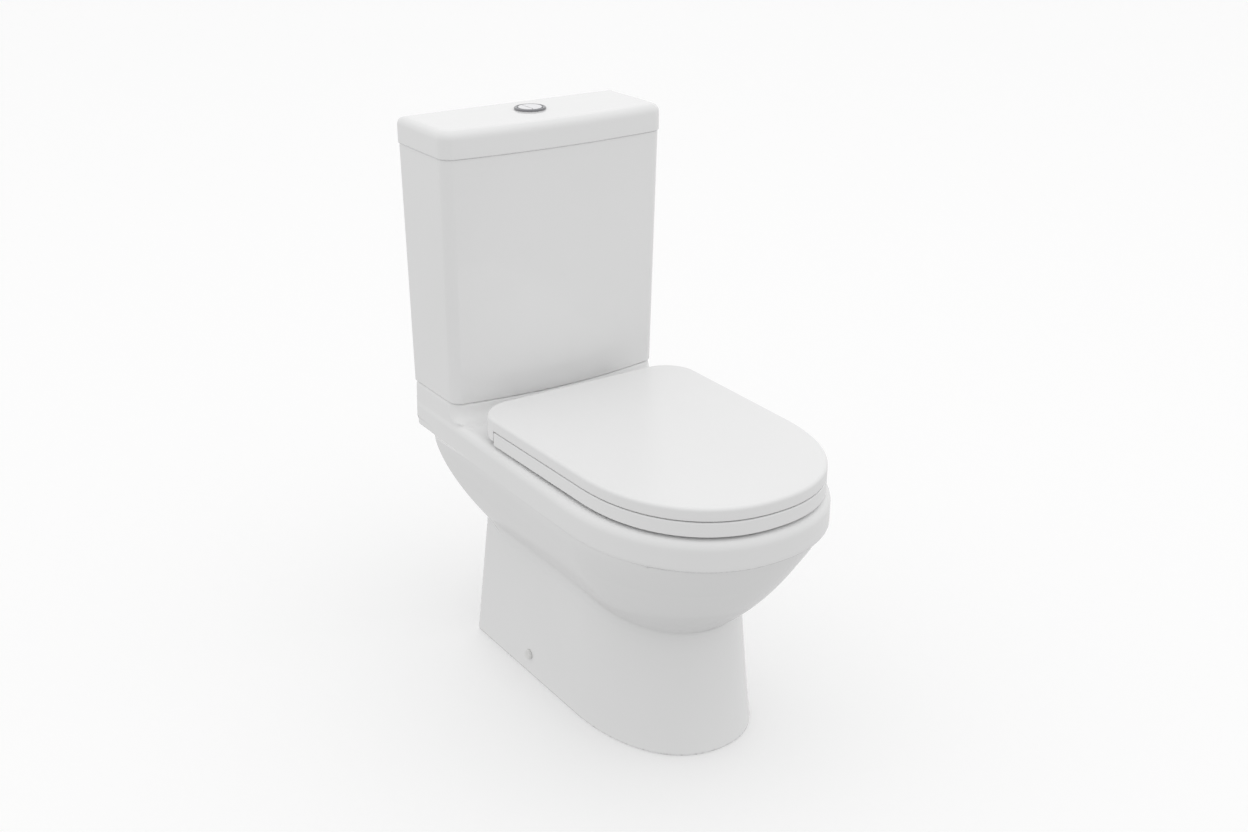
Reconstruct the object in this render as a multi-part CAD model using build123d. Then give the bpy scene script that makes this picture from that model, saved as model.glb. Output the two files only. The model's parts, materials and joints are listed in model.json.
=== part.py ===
"""Close coupled toilet: pan, cistern, flush and fill valves, soft D-shaped seat and lid.

Millimetres. X across, Y towards the wall, Z up. The origin is on the floor, in the middle of the
pan's footprint rectangle. Depths are given as the distance forward of the wall plane.
"""
from build123d import *
from math import copysign, cos, hypot, pi, sin, sqrt
import os

# ---- overall ----
PROJECTION = 650.0            # wall plane to the tip of the rim
WALL_Y = PROJECTION / 2       # y of the wall plane
CERAMIC = 11.0                # wall of the castings
BACK_OPEN = -20.0             # depth that runs past the wall plane, for cavities open at the back

# ---- heights ----
CREASE_Z = 338.0              # underside of the rim band
RIM_Z = 380.0                 # flat top of the rim
DECK_Z = 405.0                # cistern deck
SEAT_Z = (384.0, 404.0)       # seat ring
LID_Z = (405.5, 423.0)        # seat lid over the ring
LID_SKIN = 10.0
CISTERN_TOP = 762.0
TOP = 800.0                   # top of the cistern lid

# ---- pan ----
RIM_HALF = 178.9
RIM_BACK_HALF = 174.0
RIM_STRAIGHT = 427.0
NOSE_POWER = 2.2
FOOT_HALF = 121.4
FOOT_TOP_HALF = 118.5
FOOT_TOP_Z = 212.0
FOOT_STRAIGHT = 352.0
HULL_END_Z = 130.5            # height where the hull would close to a point
HULL_MIDDLE = 390.0           # depth of that point
HULL_BACK = 51.7
HULL_STRAIGHT = 432.0
RIM_ROUND = 13.0
COVE = 25.0                   # concave step from the cistern deck to the rim

# ---- cistern ----
CISTERN_HALF = (172.3, 177.0)         # bottom, top
CISTERN_FRONT = (140.6, 146.0)        # middle of the bowed front
CISTERN_CORNER = (121.0, 133.5)       # depth of the front corners
CISTERN_FLOOR = 12.0
CISTERN_WALL = 9.0
CORNER_ROUND = 20.0
LID_PROUD = 1.8
LID_PLATE = 10.0

# ---- trapway, (depth, height) of the bore's centre line ----
TRAP_LINE = [(345.0, 118.0), (262.0, 108.0), (205.0, 236.0), (150.0, 181.0), (80.0, 181.0)]
TRAP_BORE = 38.0
TRAP_WALL = 9.0
SPIGOT_R = 51.0
SPIGOT_END = 65.0
SPIGOT_BORE = 42.0

# ---- fittings ----
VALVE_DEPTH = 75.0            # flush valve, coupling bolts and fill valve stand on this line
FILL_X = -135.0
FILL_DEPTH = 55.0
COUPLING_X = 82.0
PORT_RECESS_R = 47.5
PORT_FLOOR_Z = 378.0
BUTTON_DEPTH = 61.0
SPLIT_X = -5.0                # line between the full (right) and half (left) buttons
ROD_X = {"full": 8.0, "half": -11.0}
HINGE_X = 77.5
HINGE_DEPTH = 192.0
HINGE_Z = 398.0
HINGE_PIN_R = 4.0
PIN_BORE_R = 4.05
WALL_FIX_X = 100.0
WALL_FIX_Z = 700.0
BRACKET_DEPTH = 230.0
SIDE_SCREW_Z = 34.0

# ---- seat ----
SEAT_HALF = 167.3
SEAT_BACK_HALF = 171.8
SEAT_STRAIGHT = 441.6
SEAT_TIP = 644.2
LID_BACK = 181.0
LID_CORNER = 50.0
WRAP_END = 233.0              # the lid's sides wrap down over the seat ring up to here
WRAP_Z = 390.0
RING_BACK = 207.0

FLOOR_TOP = DECK_Z + CISTERN_FLOOR    # inside floor of the cistern


# ---- general shapes ----

def point(x, depth):
    """Point in the XY plane, from the distance across and the depth."""
    return (x, WALL_Y - depth)


def at(x, depth, z):
    return Pos(x, WALL_Y - depth, z)


def d_face(z, half, straight, tip, back, back_half=None, corner=8.0, power=NOSE_POWER):
    """D-shaped face at height z: flat back, straight sides, superellipse nose."""
    back_half = back_half or half
    steps = 12
    nose = []
    for i in range(steps + 1):
        a = pi * i / steps - pi / 2
        across = copysign(half * abs(sin(a)) ** (2 / power), sin(a))
        ahead = (tip - straight) * abs(cos(a)) ** (2 / power)
        nose.append(point(across, straight + ahead))
    edges = [Spline(*nose, tangents=((0, -1), (0, 1)))]
    bend = corner * (1 - sqrt(0.5))
    for side in (-1, 1):
        shoulder = point(side * back_half, back + corner)
        middle = point(side * (back_half - bend), back + bend)
        heel = point(side * (back_half - corner), back)
        edges.append(Line(point(side * half, straight), shoulder))
        edges.append(ThreePointArc(shoulder, middle, heel))
    edges.append(Line(point(corner - back_half, back), point(back_half - corner, back)))
    return Pos(0, 0, z) * make_face(edges)


def oval_face(z, half, back, centre, tip):
    """Egg-shaped face at height z, widest at the depth called centre."""
    steps = 16
    rim = []
    for i in range(steps):
        a = 2 * pi * i / steps
        reach = tip - centre if cos(a) > 0 else centre - back
        rim.append(point(half * sin(a), centre + reach * cos(a)))
    return Pos(0, 0, z) * make_face(Spline(*rim, periodic=True))


def bowed_face(z, half, front, front_corner, back=0.0, corner=CORNER_ROUND, heel=6.0):
    """Rectangle at height z with a bowed front, for the cistern and its deck."""
    edges = [
        Line(point(-half, back), point(half, back)),
        Line(point(half, back), point(half, front_corner)),
        ThreePointArc(point(half, front_corner), point(0, front), point(-half, front_corner)),
        Line(point(-half, front_corner), point(-half, back)),
    ]
    face = make_face(edges)
    by_y = face.vertices().sort_by(Axis.Y)
    face = fillet(by_y[:2], corner)
    if heel:
        face = fillet(face.vertices().sort_by(Axis.Y)[-2:], heel)
    return Pos(0, 0, z) * face


def rod(radius, z0, z1, x=0.0, depth=VALVE_DEPTH):
    """Upright cylinder between two heights."""
    return at(x, depth, (z0 + z1) / 2) * Cylinder(radius, z1 - z0)


def tube(outer, inner, z0, z1, x=0.0, depth=VALVE_DEPTH):
    return rod(outer, z0, z1, x, depth) - rod(inner, z0 - 1, z1 + 1, x, depth)


def block(x0, x1, depth0, depth1, z0, z1):
    """Box between two planes along each axis."""
    middle = at((x0 + x1) / 2, (depth0 + depth1) / 2, (z0 + z1) / 2)
    return middle * Box(abs(x1 - x0), abs(depth1 - depth0), z1 - z0)


def cross_pin(radius, x0, x1, depth, z):
    """Cylinder lying along X."""
    return at((x0 + x1) / 2, depth, z) * Rot(0, 90, 0) * Cylinder(radius, abs(x1 - x0))


def pipe(radius, start, end):
    """Cylinder in the symmetry plane between two (depth, height) points."""
    (d0, z0), (d1, z1) = start, end
    length = hypot(d1 - d0, z1 - z0)
    middle = Plane(
        origin=(0, WALL_Y - (d0 + d1) / 2, (z0 + z1) / 2), z_dir=(0, d0 - d1, z1 - z0)
    )
    return middle * Cylinder(radius, length)


def pair(shape):
    """The shape and its mirror image, as separate solids."""
    return Compound(children=[shape, mirror(shape, Plane.YZ)])


def wing_nut(x, depth, z0, z1, bore):
    hub = tube(8, bore, z0, z1, x, depth)
    wings = block(x - 17, x + 17, depth - 1.5, depth + 1.5, z0 - 6, z1 - 3)
    return hub + (wings - rod(7.5, z0 - 7, z1, x, depth))


# ---- pan ----

def hull_face(z, inset=0.0, back=None):
    """Section of the boat-shaped hull under the rim band."""
    t = (CREASE_Z - z) / (CREASE_Z - HULL_END_Z)
    half = (RIM_HALF - 1.5) * sqrt(1 - t ** 1.3)
    tip = HULL_MIDDLE + (PROJECTION - 8 - HULL_MIDDLE) * sqrt(1 - t ** 1.12)
    own_back = HULL_MIDDLE - (HULL_MIDDLE - HULL_BACK) * sqrt(1 - t ** 1.92)
    straight = HULL_MIDDLE + (HULL_STRAIGHT - HULL_MIDDLE) * (1 - t) ** 0.7
    power = NOSE_POWER - 0.15 * min(1.0, 4 * t)
    back = own_back if back is None else back
    corner = 20.0 if back == own_back else 2.0
    return d_face(z, half - inset, straight, tip - 1.25 * inset, back, corner=corner, power=power)


def foot_face(z, inset=0.0, back=None):
    """Section of the skirted pedestal, flaring slightly at the floor."""
    k = z / FOOT_TOP_Z
    half = FOOT_HALF + (FOOT_TOP_HALF - FOOT_HALF) * k
    tip = 534.5 - 33.0 * k + 6.5 * (1 - k) ** 3
    own_back = 69.5 + 38.5 * k
    back = own_back if back is None else back
    return d_face(z, half - inset, FOOT_STRAIGHT, tip - inset, back, corner=4.0, power=2.23)


def pan_outside():
    hull = loft([hull_face(z) for z in (337.9, 318, 295, 270, 245, 220, 198, 180)])
    foot = loft([foot_face(z) for z in (0, 25, 60, 110, 165, FOOT_TOP_Z)])
    rim = [
        d_face(z, RIM_HALF, RIM_STRAIGHT, PROJECTION, 2.0, RIM_BACK_HALF) for z in (CREASE_Z, RIM_Z)
    ]
    band = loft(rim)
    band = fillet(band.faces().sort_by(Axis.Z)[-1].edges(), RIM_ROUND)
    band = fillet(band.faces().sort_by(Axis.Z)[0].edges(), 3.0)
    inner_hull_top = extrude(hull_face(CREASE_Z - 0.1, inset=3.0), amount=20)
    steps = []
    for i in range(7):
        rise = COVE * (1 - cos(pi / 2 * i / 6))
        swell = COVE * (1 - sin(pi / 2 * i / 6))
        steps.append((RIM_Z + rise, swell))
    sections = [bowed_face(345, 174.0, 140.6 + COVE, 121 + COVE)]
    for z, swell in steps:
        half = 174.0 - 1.7 * (z - 345) / (DECK_Z - 345)
        sections.append(bowed_face(z, half, CISTERN_FRONT[0] + swell, CISTERN_CORNER[0] + swell))
    deck = loft(sections[:2], ruled=True) + loft(sections[1:])
    return hull + foot + band + inner_hull_top + deck


def pan_cavity():
    """Space inside the skirt, open at the floor and at the back."""
    foot = loft([foot_face(z, CERAMIC, BACK_OPEN) for z in (-1, 60, 130, FOOT_TOP_Z)])
    hull = loft([hull_face(z, CERAMIC, BACK_OPEN) for z in (337, 310, 280, 250, 220, 190)])
    under_rim = [
        d_face(z, RIM_HALF - 14, RIM_STRAIGHT, PROJECTION - 15, BACK_OPEN, RIM_BACK_HALF - 12)
        for z in (336, RIM_Z - 13)
    ]
    under_deck = [
        bowed_face(z, 161.5, 130, 112, BACK_OPEN, heel=0) for z in (340, DECK_Z - CISTERN_FLOOR)
    ]
    return foot + hull + loft(under_rim) + loft(under_deck)


def bowl_shape(wall=0.0):
    """Inside of the bowl, or with a wall its outside."""
    sections = [
        (RIM_Z + 1, 132, 258, 425, 606),
        (350, 135, 256, 425, 607),
        (315, 128, 258, 420, 592),
        (270, 104, 265, 405, 550),
        (225, 76, 275, 385, 492),
        (180, 54, 286, 365, 438),
        (130, 41, 296, 345, 396),
        (84, 36, 303, 340, 377),
    ]
    if wall:
        sections[0] = (RIM_Z - 6, 132, 258, 425, 606)
        sections[-1] = (84 - wall, 36, 303, 340, 377)
    return loft([oval_face(z, h + wall, b - wall, c, t + wall) for z, h, b, c, t in sections])


def trap_shape(radius):
    """Ball-jointed run of pipe along the trap's centre line."""
    shape = pipe(radius, TRAP_LINE[0], TRAP_LINE[1])
    for start, end in zip(TRAP_LINE[1:], TRAP_LINE[2:]):
        shape += pipe(radius, start, end)
    for depth, z in TRAP_LINE[1:-1]:
        shape += at(0, depth, z) * Sphere(radius)
    return shape


def pan():
    duct_z = 346.0
    port_r = 28.0
    outlet_z = TRAP_LINE[-1][1]
    body = pan_outside() - pan_cavity()
    body += bowl_shape(CERAMIC)
    body += trap_shape(TRAP_BORE + TRAP_WALL)
    body += pipe(SPIGOT_R, (SPIGOT_END, outlet_z), (128, outlet_z))
    body += rod(PORT_RECESS_R + 9, PORT_FLOOR_Z - 10, DECK_Z - 2)
    body += rod(port_r + 9, duct_z - 26, PORT_FLOOR_Z - 5)
    body += pipe(24, (VALVE_DEPTH, duct_z), (256, duct_z))
    body -= bowl_shape()
    body -= trap_shape(TRAP_BORE)
    body -= pipe(SPIGOT_BORE, (SPIGOT_END - 5, outlet_z), (140, outlet_z))
    body -= rod(PORT_RECESS_R, PORT_FLOOR_Z, DECK_Z + 1)
    body -= rod(port_r, duct_z - 18, PORT_FLOOR_Z + 1)
    body -= pipe(16, (VALVE_DEPTH, duct_z), (275, duct_z))
    body -= rod(24, DECK_Z - 30, DECK_Z + 1, FILL_X, FILL_DEPTH)
    for side in (-1, 1):
        body -= rod(6, DECK_Z - 30, DECK_Z + 1, side * COUPLING_X)
        body -= rod(7, RIM_Z - 30, RIM_Z + 1, side * HINGE_X, HINGE_DEPTH)
        body -= cross_pin(3, side * 100, side * 130, BRACKET_DEPTH, SIDE_SCREW_Z)
    return body


# ---- cistern ----

def cistern_face(z, inset=0.0):
    """Section of the cistern, which widens upwards and bows at the front."""
    k = (z - DECK_Z) / (CISTERN_TOP - DECK_Z)
    half = CISTERN_HALF[0] + (CISTERN_HALF[1] - CISTERN_HALF[0]) * k
    front = CISTERN_FRONT[0] + (CISTERN_FRONT[1] - CISTERN_FRONT[0]) * k
    corner = CISTERN_CORNER[0] + (CISTERN_CORNER[1] - CISTERN_CORNER[0]) * k
    corner_round = CORNER_ROUND - min(inset, 12.0)
    return bowed_face(z, half - inset, front - inset, corner - inset, inset, corner_round, 5.0)


def cistern():
    body = loft([cistern_face(DECK_Z), cistern_face(CISTERN_TOP)])
    body -= loft([cistern_face(z, CISTERN_WALL) for z in (FLOOR_TOP, CISTERN_TOP + 2)])
    body -= rod(32, DECK_Z - 1, FLOOR_TOP + 1)
    body -= rod(11.5, DECK_Z - 1, FLOOR_TOP + 1, FILL_X, FILL_DEPTH)
    for side in (-1, 1):
        body -= rod(5.5, DECK_Z - 1, FLOOR_TOP + 1, side * COUPLING_X)
        screw = at(side * WALL_FIX_X, 5, WALL_FIX_Z) * Rot(90, 0, 0) * Cylinder(3.5, 20)
        body -= screw
    return body


def cistern_lid():
    """Rounded cap with a locating rib that drops inside the cistern."""
    outline = cistern_face(CISTERN_TOP, -LID_PROUD)
    outline = Pos(0, -LID_PROUD, 0) * outline
    body = extrude(outline, amount=TOP - CISTERN_TOP)
    body = fillet(body.faces().sort_by(Axis.Z)[-1].edges(), 12.0)
    body = fillet(body.faces().sort_by(Axis.Z)[0].edges(), 2.0)
    depth = TOP - CISTERN_TOP - LID_PLATE
    body -= extrude(cistern_face(CISTERN_TOP, CISTERN_WALL + 8), amount=depth)
    rib = extrude(cistern_face(CISTERN_TOP, CISTERN_WALL + 2), amount=16)
    rib -= extrude(cistern_face(CISTERN_TOP, CISTERN_WALL + 8.5), amount=16)
    body += Pos(0, 0, -8) * rib
    return body - rod(20.5, TOP - 30, TOP + 1, 0, BUTTON_DEPTH)


# ---- flush button ----

BEZEL_R = 23.0
BUTTON_R = 17.0
BUTTON_TOP = TOP + 3.5
WEB_Z = 776.0                 # guide web at the bottom of the sleeve
WEB_THICK = 3.0
BUTTON_UNDER = TOP - 1.5
ROD_END_Z = 735.0             # bottom of the push rods
PRESS_Z = 712.0               # bottom of the leg that presses the rocker


def button_bezel():
    ring = rod(BEZEL_R, TOP, TOP + 3, 0, BUTTON_DEPTH)
    ring = fillet(ring.faces().sort_by(Axis.Z)[-1].edges(), 1.8)
    body = ring + rod(20, WEB_Z, TOP, 0, BUTTON_DEPTH)
    body -= rod(BUTTON_R + 0.5, WEB_Z + WEB_THICK, TOP + 4, 0, BUTTON_DEPTH)
    for x in ROD_X.values():
        body -= rod(2.8, WEB_Z - 1, WEB_Z + WEB_THICK + 1, x, BUTTON_DEPTH)
    return body


def bezel_locknut():
    top = TOP - LID_PLATE
    body = tube(27, 20.05, top - 8, top, 0, BUTTON_DEPTH)
    for i in range(12):
        a = 2 * pi * i / 12
        body -= rod(2, top - 9, top + 1, 27.5 * cos(a), BUTTON_DEPTH + 27.5 * sin(a))
    return body


def button(side):
    """One part of the split button with its guide skirt, push rod and pressing leg."""
    plate = rod(BUTTON_R, BUTTON_UNDER, BUTTON_TOP, 0, BUTTON_DEPTH)
    plate = fillet(plate.faces().sort_by(Axis.Z)[-1].edges(), 1.2)
    gap = 0.35
    if side == "full":
        keep = block(SPLIT_X + gap, 30, BUTTON_DEPTH - 30, BUTTON_DEPTH + 30, 700, 900)
    else:
        keep = block(-30, SPLIT_X - gap, BUTTON_DEPTH - 30, BUTTON_DEPTH + 30, 700, 900)
    skirt = rod(BUTTON_R, BUTTON_UNDER - 7, BUTTON_UNDER, 0, BUTTON_DEPTH)
    skirt -= rod(BUTTON_R - 1.5, BUTTON_UNDER - 8, BUTTON_UNDER, 0, BUTTON_DEPTH)
    x = ROD_X[side]
    body = (plate + skirt) & keep
    body += rod(2.5, ROD_END_Z, BUTTON_UNDER + 1, x, BUTTON_DEPTH)
    if side == "full":
        top = ROD_END_Z + 4
        body += block(x - 3, 54, BUTTON_DEPTH - 3, BUTTON_DEPTH + 3, ROD_END_Z, top)
        body += block(47, 54, BUTTON_DEPTH - 3, VALVE_DEPTH + 3, ROD_END_Z, top)
        body += block(47, 54, VALVE_DEPTH - 3, VALVE_DEPTH + 3, PRESS_Z, top)
    return body


def button_spring(side):
    """Coil spring around the push rod, between the web and the button."""
    z0 = WEB_Z + WEB_THICK + 0.5
    height = BUTTON_UNDER - z0 - 0.5
    radius = 3.6
    path = Helix(pitch=height / 6, height=height, radius=radius)
    wire = Plane(origin=path @ 0, z_dir=path % 0) * Circle(0.45)
    coil = sweep(wire, path=path, is_frenet=True)
    return at(ROD_X[side], BUTTON_DEPTH, z0) * coil


# ---- flush valve ----

PIVOT_X = 38.0
PIVOT_Z = 706.0
TUBE_R = 14.0
LIFT_FLANGE_Z = 709.2


def flush_valve_body():
    """Threaded tail, seat flange, four-post cage, collar and the tower that holds the rocker."""
    body = tube(30, 25, 384, 421)
    body += tube(40, 25, 419.5, 424)
    for x, depth in ((35.5, 0), (-35.5, 0), (0, 35.5), (0, -35.5)):
        body += rod(3.5, 423, 503, x, VALVE_DEPTH + depth)
    body += tube(40, TUBE_R + 0.6, 500, 508)
    body += block(20, 26, VALVE_DEPTH - 10, VALVE_DEPTH + 10, 505, 680)
    body += block(-26, -20, VALVE_DEPTH - 10, VALVE_DEPTH + 10, 505, 680)
    body += tube(28, TUBE_R + 0.6, 674, 682)
    for side in (-1, 1):
        body += block(24, 43, VALVE_DEPTH + side * 6, VALVE_DEPTH + side * 10, 676, 712)
    return body - at(PIVOT_X, VALVE_DEPTH, PIVOT_Z) * Rot(90, 0, 0) * Cylinder(2.05, 40)


def rocker_pin():
    return at(PIVOT_X, VALVE_DEPTH, PIVOT_Z) * Rot(90, 0, 0) * Cylinder(2.0, 24)


def flush_rocker():
    """Lever: the button's leg presses its outer end and its fork lifts the valve tube."""
    body = at(PIVOT_X, VALVE_DEPTH, PIVOT_Z) * Rot(90, 0, 0) * Cylinder(5, 11)
    body += block(17.5, 50, VALVE_DEPTH - 4, VALVE_DEPTH + 4, PIVOT_Z - 2, PIVOT_Z + 2)
    body += block(48, 52, VALVE_DEPTH - 4, VALVE_DEPTH + 4, PIVOT_Z - 2, PIVOT_Z + 5)
    return body - at(PIVOT_X, VALVE_DEPTH, PIVOT_Z) * Rot(90, 0, 0) * Cylinder(2.1, 40)


def valve_tube():
    """Overflow tube with the piston disc below and the lifting flange on top."""
    body = rod(TUBE_R, 428, 715) + rod(31, 428, 433)
    body += rod(21, LIFT_FLANGE_Z, LIFT_FLANGE_Z + 3)
    return body - rod(TUBE_R - 2, 420, 720)


def valve_seal():
    return tube(30.5, 22, 424.3, 428)


def flush_valve_washer():
    return tube(39, 30.3, FLOOR_TOP, 419.5)


def flush_valve_backnut():
    body = tube(36, 30.05, 395.5, DECK_Z)
    for i in range(8):
        a = 2 * pi * i / 8
        body -= rod(3, 390, 410, 38 * cos(a), VALVE_DEPTH + 38 * sin(a))
    return body


def coupling_seal():
    """Thick soft ring between the cistern and the pan, hollowed for the backnut."""
    body = rod(PORT_RECESS_R - 0.5, PORT_FLOOR_Z, DECK_Z)
    body = chamfer(body.faces().sort_by(Axis.Z)[0].edges(), 4)
    body -= rod(36.5, 395, DECK_Z + 1)
    return body - rod(30.6, PORT_FLOOR_Z - 1, 400)


# ---- fill valve ----

INLET_R = 10.5
INLET_NECK_R = 10.9            # through the cistern floor, above the pipe connection
INLET_NECK_Z = 392.0
INLET_END = 352.0
LEVER_PIVOT = (FILL_X + 17, 712.0)    # x and z
LEVER_REACH = 35.0


def fill_rod(radius, z0, z1, x=FILL_X):
    return rod(radius, z0, z1, x, FILL_DEPTH)


def fill_tube(outer, inner, z0, z1):
    return tube(outer, inner, z0, z1, FILL_X, FILL_DEPTH)


def lever_axle(radius, length):
    """Cylinder along Y on the lever's pivot."""
    x, z = LEVER_PIVOT
    return at(x, FILL_DEPTH, z) * Rot(90, 0, 0) * Cylinder(radius, length)


def fill_valve_body():
    """Threaded inlet tail, shoulder and standpipe with the head that carries the lever."""
    body = fill_tube(INLET_R, 5.5, INLET_END, INLET_NECK_Z + 1)
    body += fill_tube(INLET_NECK_R, 5.5, INLET_NECK_Z, 420) + fill_tube(18, 5.5, 419, 424)
    body += fill_tube(9, 5.5, 423, 690)
    body += fill_rod(15, 686, 706) + fill_rod(2, 705, 707, FILL_X + 11)
    for side in (-1, 1):
        near, far = FILL_DEPTH + side * 4, FILL_DEPTH + side * 8
        body += block(FILL_X + 8, FILL_X + 21, near, far, 700, 717)
    return body - lever_axle(1.55, 30)


def fill_valve_cap():
    notch = block(FILL_X + 6, FILL_X + 20, FILL_DEPTH - 15, FILL_DEPTH + 15, 698, 710)
    return fill_tube(17, 15.1, 690, 704) - notch


def lever_pin():
    return lever_axle(1.5, 18)


def fill_valve_lever():
    """Arm that shuts the valve when the float lifts its outer end."""
    x, z = LEVER_PIVOT
    near, far = FILL_DEPTH - 4, FILL_DEPTH + 4
    body = lever_axle(3.5, 7.4)
    body += block(x - 9, x + LEVER_REACH - 3, near + 1, far - 1, z - 1, z + 2)
    body += block(x + LEVER_REACH - 6, x + LEVER_REACH + 9, near, far, z - 1, z + 2)
    start, end = x + LEVER_REACH - 2.4, x + LEVER_REACH + 6
    slot = block(start, end, FILL_DEPTH - 2, FILL_DEPTH + 2, z - 5, z + 5)
    return body - slot - lever_axle(1.6, 30)


def float_cup():
    """Ring-shaped float that slides on the standpipe, with the arm that carries its rod."""
    body = fill_tube(27, 9.6, 585, 650) - fill_tube(25, 11.6, 580, 648)
    x = LEVER_PIVOT[0] + LEVER_REACH
    body += block(FILL_X + 26, x + 4, FILL_DEPTH - 4, FILL_DEPTH + 4, 640, 646)
    return body - fill_rod(1.65, 630, 660, x)


def float_rod():
    x = LEVER_PIVOT[0] + LEVER_REACH
    heads = fill_rod(3, 707, 709.5, x) + fill_rod(3, 717, 720, x) + fill_rod(3, 636, 639.8, x)
    return fill_rod(1.6, 634, 718, x) + heads


def fill_valve_washer():
    return fill_tube(17, 11.1, FLOOR_TOP, 419)


def fill_valve_backnut():
    body = at(FILL_X, FILL_DEPTH, 395) * extrude(RegularPolygon(17, 6), amount=10)
    return body - fill_rod(INLET_NECK_R + 0.05, 390, 410)


# ---- close coupling ----

def coupling_bolts():
    head = at(COUPLING_X, VALVE_DEPTH, 421) * extrude(RegularPolygon(8, 6), amount=6)
    return pair(head + rod(4, 366, 422, COUPLING_X))


def coupling_washers():
    washer = at(COUPLING_X, VALVE_DEPTH, 418.8) * Cone(11, 8, 4.2 - 0.6)
    return pair(washer - rod(4.05, 410, 425, COUPLING_X))


def coupling_steel_washers():
    under = DECK_Z - CISTERN_FLOOR
    return pair(tube(12, 4.3, under - 1.6, under, COUPLING_X))


def coupling_wing_nuts():
    top = DECK_Z - CISTERN_FLOOR - 1.6
    return pair(wing_nut(COUPLING_X, VALVE_DEPTH, top - 10, top, 4.05))


# ---- seat and lid ----

def seat_outline(z, back, back_half, corner, inset=0.0):
    return d_face(
        z, SEAT_HALF - inset, SEAT_STRAIGHT, SEAT_TIP - inset, back, back_half - inset, corner, 2.22
    )


def seat_ring():
    """D-shaped ring with a rounded opening, hollow underneath, and lugs for the hinge pins."""
    z0, z1 = SEAT_Z
    body = extrude(seat_outline(z0, LID_BACK, SEAT_BACK_HALF, LID_CORNER), amount=z1 - z0)
    body -= block(-200, 200, LID_BACK - 1, WRAP_END + 1.5, z0 - 1, z1 + 1)
    tail_corner = LID_CORNER - 9
    tail = seat_outline(z0, LID_BACK + 9, SEAT_BACK_HALF, tail_corner, 9)
    body += extrude(tail, amount=z1 - z0) - block(-200, 200, LID_BACK, RING_BACK, z0 - 1, z1 + 1)
    body = fillet(body.faces().sort_by(Axis.Z)[-1].edges(), 1.5)
    opening = extrude(oval_face(z0 - 1, 108, 286, 430, 588), amount=z1 - z0 + 2)
    body -= opening
    top_face = body.faces().sort_by(Axis.Z)[-1]
    body = fillet(top_face.inner_wires()[0].edges(), 6.0)
    channel = extrude(seat_outline(z0 - 1, RING_BACK + 12, SEAT_BACK_HALF, 22.0, 14.0), amount=9)
    channel -= extrude(oval_face(z0 - 2, 120, 274, 430, 600), amount=12)
    body -= channel
    for side in (-1, 1):
        inner, outer = side * 92, side * 101
        lug = cross_pin(7.5, inner, outer, HINGE_DEPTH, HINGE_Z)
        lug += block(inner, outer, HINGE_DEPTH, RING_BACK + 2, HINGE_Z - 6, HINGE_Z + 4)
        body += lug
        body -= cross_pin(PIN_BORE_R, side * 90, side * 103, HINGE_DEPTH, HINGE_Z)
    return body


def seat_lid():
    """Slim lid whose back edge wraps down over the hinges."""
    z0, z1 = LID_Z
    body = extrude(seat_outline(WRAP_Z, LID_BACK, SEAT_BACK_HALF, LID_CORNER), amount=z1 - WRAP_Z)
    body = fillet(body.faces().sort_by(Axis.Z)[-1].edges(), 4.0)
    body = fillet(body.faces().sort_by(Axis.Z)[0].edges(), 6.0)
    body -= block(-200, 200, WRAP_END, 700, WRAP_Z - 1, z0)
    hollow = seat_outline(WRAP_Z - 1, LID_BACK + 5, SEAT_BACK_HALF, LID_CORNER - 6, 7.0)
    body -= extrude(hollow, amount=z1 - LID_SKIN - WRAP_Z + 1)
    for side in (-1, 1):
        body -= block(side * 61, side * 104, LID_BACK - 1, LID_BACK + 8, WRAP_Z - 1, HINGE_Z + 10)
        inner, outer = side * 53, side * 62
        lug = cross_pin(7.5, inner, outer, HINGE_DEPTH, HINGE_Z)
        lug += block(inner, outer, HINGE_DEPTH - 5, HINGE_DEPTH + 5, HINGE_Z, z1 - LID_SKIN + 1)
        body += lug
        body -= cross_pin(PIN_BORE_R, side * 51, side * 64, HINGE_DEPTH, HINGE_Z)
    return body


def buffers(z0, z1, places):
    pads = []
    for x, depth in places:
        for side in (-1, 1):
            pads.append(rod(7, z0, z1, side * x, depth))
    return Compound(children=pads)


def seat_buffers():
    return buffers(RIM_Z + 0.4, SEAT_Z[0] + 8, ((144, 260), (118, 545)))


def lid_buffers():
    return buffers(SEAT_Z[1] + 0.4, LID_Z[1] - LID_SKIN, ((138, 255), (112, 540)))


def hinge_posts():
    base = rod(12.5, RIM_Z, RIM_Z + 3, HINGE_X, HINGE_DEPTH)
    post = block(66, 89, HINGE_DEPTH - 6, HINGE_DEPTH + 6, RIM_Z + 2, HINGE_Z)
    head = cross_pin(7.5, 66, 89, HINGE_DEPTH, HINGE_Z)
    body = base + post + head
    return pair(body - cross_pin(PIN_BORE_R, 60, 95, HINGE_DEPTH, HINGE_Z) - hinge_stud())


def hinge_stud():
    return rod(3, 338, RIM_Z + 8, HINGE_X, HINGE_DEPTH)


def hinge_studs():
    return pair(hinge_stud())


def hinge_pins():
    return pair(cross_pin(HINGE_PIN_R, 52, 102, HINGE_DEPTH, HINGE_Z))


def hinge_gaskets():
    under = RIM_Z - 13
    return pair(tube(13, 3.3, under - 4, under, HINGE_X, HINGE_DEPTH))


def hinge_washers():
    under = RIM_Z - 17
    return pair(tube(11, 3.3, under - 1.6, under, HINGE_X, HINGE_DEPTH))


def hinge_wing_nuts():
    under = RIM_Z - 18.6
    return pair(wing_nut(HINGE_X, HINGE_DEPTH, under - 10, under, 3.05))


# ---- floor fixing ----

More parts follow.
